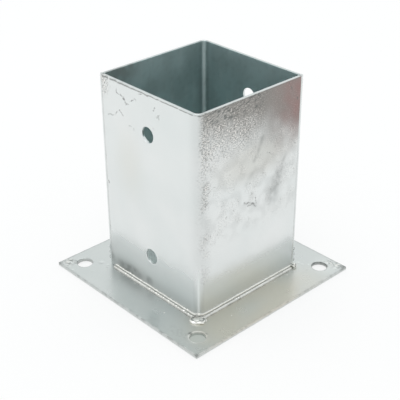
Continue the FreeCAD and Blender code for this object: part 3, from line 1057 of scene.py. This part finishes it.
for node, wall, half_turn, seed in (
    ("front_foot_weld", "front", 1, 3),
    ("right_foot_weld", "right", 1, 8),
    ("back_foot_weld", "front", -1, 13),
    ("left_foot_weld", "right", -1, 18),
):
    bead = weld(
        node + "_zinc",
        foot_line(wall, half_turn),
        section_wire(FOOT_SECTION, 1, -1),
        foot_zinc,
        Lump_Size=2.4 * MM,
        Lump_Height=1.5 * MM,
        Ripple_Pitch=2.6 * MM,
        Ripple_Height=0.14 * MM,
        Spatter_Count=12,
        Spatter_Radius=0.45 * MM,
        Spatter_Reach=9.0 * MM,
        Seed=seed,
    )
    if node == "right_foot_weld":
        end = (OUTER_FACE + 1.2, OUTER_FACE - 0.6, PLATE_THICK + 1.2)
        weld_lump(bead, end, (2.1, 1.9, 1.8), 0.0, 1.0)
    if node == "front_foot_weld":
        corner = (OUTER_FACE + 0.7, -OUTER_FACE - 1.4, PLATE_THICK + 0.3)
        weld_lump(bead, corner, (5.8, 4.2, 2.0), math.pi / 4, 0.9)
    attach(bead, "root")
    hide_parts(node)


# The corner bead rounds off the notch between the two sheet ends. Each is (x, y, how hollow,
# how rippled) from the sheet ends' inner corner, towards the outer corner; how hollow sets
# painted shade where the bead meets the sheets.
SEAM_SECTION = [
    (-0.10, -0.10, 0.0, 0.0),
    (2.04, -0.10, 0.2, 0.0),
    (2.12, 0.25, 0.1, 0.2),
    (2.16, 0.80, 0.0, 0.5),
    (2.08, 1.30, 0.0, 0.8),
    (1.86, 1.68, 0.0, 1.0),
    (1.68, 1.86, 0.0, 1.0),
    (1.30, 2.08, 0.0, 0.8),
    (0.80, 2.16, 0.0, 0.5),
    (0.25, 2.12, 0.1, 0.2),
    (-0.10, 2.04, 0.2, 0.0),
]
seam_low, seam_high = (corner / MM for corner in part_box("front_left_seam_weld"))


def seam_line(side):
    """Up the corner at (-X, -Y), or the opposite one where side is 1."""
    points, along, girth = [], [], []
    for z in spaced(seam_low.z, seam_high.z - 0.6, LINE_STEP) + [seam_high.z - 0.25, seam_high.z]:
        points.append((LEG_END * side, LEG_END * side, z))
        along.append(z * MM)
        end = 0.93 if z == seam_high.z else 1.0
        girth.append(end * (1.0 + 0.08 * ridge(z - 12.0, 4.5)))
    return wire(points, False, along=along, girth=girth, radius=girth)


for node, side, seed in (("front_left_seam_weld", -1, 23), ("back_right_seam_weld", 1, 28)):
    bead = weld(
        node + "_zinc",
        seam_line(side),
        section_wire(SEAM_SECTION, side, side),
        seam_zinc,
        Lump_Size=5.0 * MM,
        Lump_Height=0.35 * MM,
        Ripple_Pitch=1.6 * MM,
        Ripple_Height=0.04 * MM,
        Spatter_Count=0,
        Seed=seed,
    )
    for height, size in ((PLATE_THICK + 6.0, 1.5), (PLATE_THICK + 10.5, 1.1), (PLATE_THICK + 15.0, 1.3)):
        middle = ((LEG_END + 1.8) * side, (LEG_END + 1.8) * side, height)
        weld_lump(bead, middle, (0.9, 0.9, size), 0.0, 0.9)
    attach(bead, "root")
    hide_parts(node)


# ------------------------------------------------------------------------------------------------
# Studio
# A pale floor under soft white light from above. The camera stands to the right of the front
# wall and looks down into the socket.
# ------------------------------------------------------------------------------------------------

FLOOR_REACH = 12.0
FLOOR_DROP = 0.0001
SHADOW_PATCH_PLACE = (0.058, -0.058, 0.0)  # painted shadow: the grey patch of floor under the plate that the front anchor hole shows
WHITE_SHARE = 0.7  # of what the camera and the metal see; the rest keeps the shadow
floor_mesh = bpy.data.meshes.new("studio_floor")
corners = [(-1, -1), (1, -1), (1, 1), (-1, 1)]
floor_verts = [(x * FLOOR_REACH, y * FLOOR_REACH, -FLOOR_DROP) for x, y in corners]
floor_mesh.from_pydata(floor_verts, [], [(0, 1, 2, 3)])
floor = put("studio_floor", floor_mesh)
floor_paint = bpy.data.materials.new("floor_paint")
floor_paint.use_nodes = True
paint_tree = floor_paint.node_tree
floor_place = new_node(paint_tree, "ShaderNodeTexCoord").outputs["Object"]
# The floor is grey in a patch under the front anchor hole: a painted shadow.
off_shadow_patch = arrow(paint_tree, "DISTANCE", floor_place, SHADOW_PATCH_PLACE)["Value"]
off_shadow_patch = spread(paint_tree, off_shadow_patch, 0.010, 0.014, 0.0, 1.0)
floor_tone = tinted(paint_tree, off_shadow_patch, (0.44, 0.47, 0.45), (0.95, 0.95, 0.95))
white_tone = tinted(paint_tree, off_shadow_patch, (0.50, 0.54, 0.50), (1.0, 1.0, 1.0))
matt = paint_tree.nodes["Principled BSDF"]
matt.inputs["Roughness"].default_value = 1.0
matt.inputs["Specular IOR Level"].default_value = 0.0
paint_tree.links.new(floor_tone, matt.inputs["Base Color"])
seen = new_node(paint_tree, "ShaderNodeLightPath").outputs
any_ray = seen["Is Camera Ray"]
for kind in ("Is Glossy Ray", "Is Transmission Ray"):
    any_ray = number(paint_tree, "MAXIMUM", any_ray, seen[kind])
white = new_node(paint_tree, "ShaderNodeEmission", Color=white_tone, Strength=1.0).outputs[0]
share = product(paint_tree, any_ray, WHITE_SHARE)
blend = new_node(paint_tree, "ShaderNodeMixShader", share, matt.outputs[0], white).outputs[0]
paint_tree.links.new(blend, paint_tree.nodes["Material Output"].inputs["Surface"])
floor_mesh.materials.append(floor_paint)

world = bpy.data.worlds.new("studio_sky")
bpy.context.scene.world = world
world.use_nodes = True
sky = world.node_tree.nodes["Background"]
sky.inputs["Color"].default_value = (0.94, 0.97, 0.97, 1.0)
sky.inputs["Strength"].default_value = 0.97

lamp_data = bpy.data.lights.new("softbox", "AREA")
lamp_data.shape = "RECTANGLE"
lamp_data.size = 1.6
lamp_data.size_y = 1.2
lamp_data.energy = 6.0
lamp = put("softbox", lamp_data)
lamp.location = (-0.2, -0.1, 2.0)
lamp.rotation_mode = "QUATERNION"
lamp.rotation_quaternion = (Vector((0.0, 0.0, 0.08)) - lamp.location).to_track_quat("-Z", "Y")

CAMERA_AZIMUTH = math.radians(46.96)
CAMERA_ELEVATION = math.radians(29.6)
CAMERA_ROLL = math.radians(-0.2)
CAMERA_DISTANCE = 0.652
AIM_RIGHT, AIM_UP = -0.0011, -0.0156  # of the socket's middle, as the camera sees it
MIDDLE = Vector((0.0, 0.0, 0.075))
back = Vector(
    (
        math.sin(CAMERA_AZIMUTH) * math.cos(CAMERA_ELEVATION),
        -math.cos(CAMERA_AZIMUTH) * math.cos(CAMERA_ELEVATION),
        math.sin(CAMERA_ELEVATION),
    )
)
right = Vector((math.cos(CAMERA_AZIMUTH), math.sin(CAMERA_AZIMUTH), 0.0))
up = back.cross(right)
camera_data = bpy.data.cameras.new("camera")
camera_data.lens = 84.06
camera = put("camera", camera_data)
level = Matrix((right, up, back)).transposed()
camera.location = level @ Vector((AIM_RIGHT, AIM_UP, CAMERA_DISTANCE)) + MIDDLE
camera.rotation_mode = "QUATERNION"
camera.rotation_quaternion = (level @ Matrix.Rotation(CAMERA_ROLL, 3, "Z")).to_quaternion()
bpy.context.scene.camera = camera
bpy.context.scene.view_settings.view_transform = "Standard"
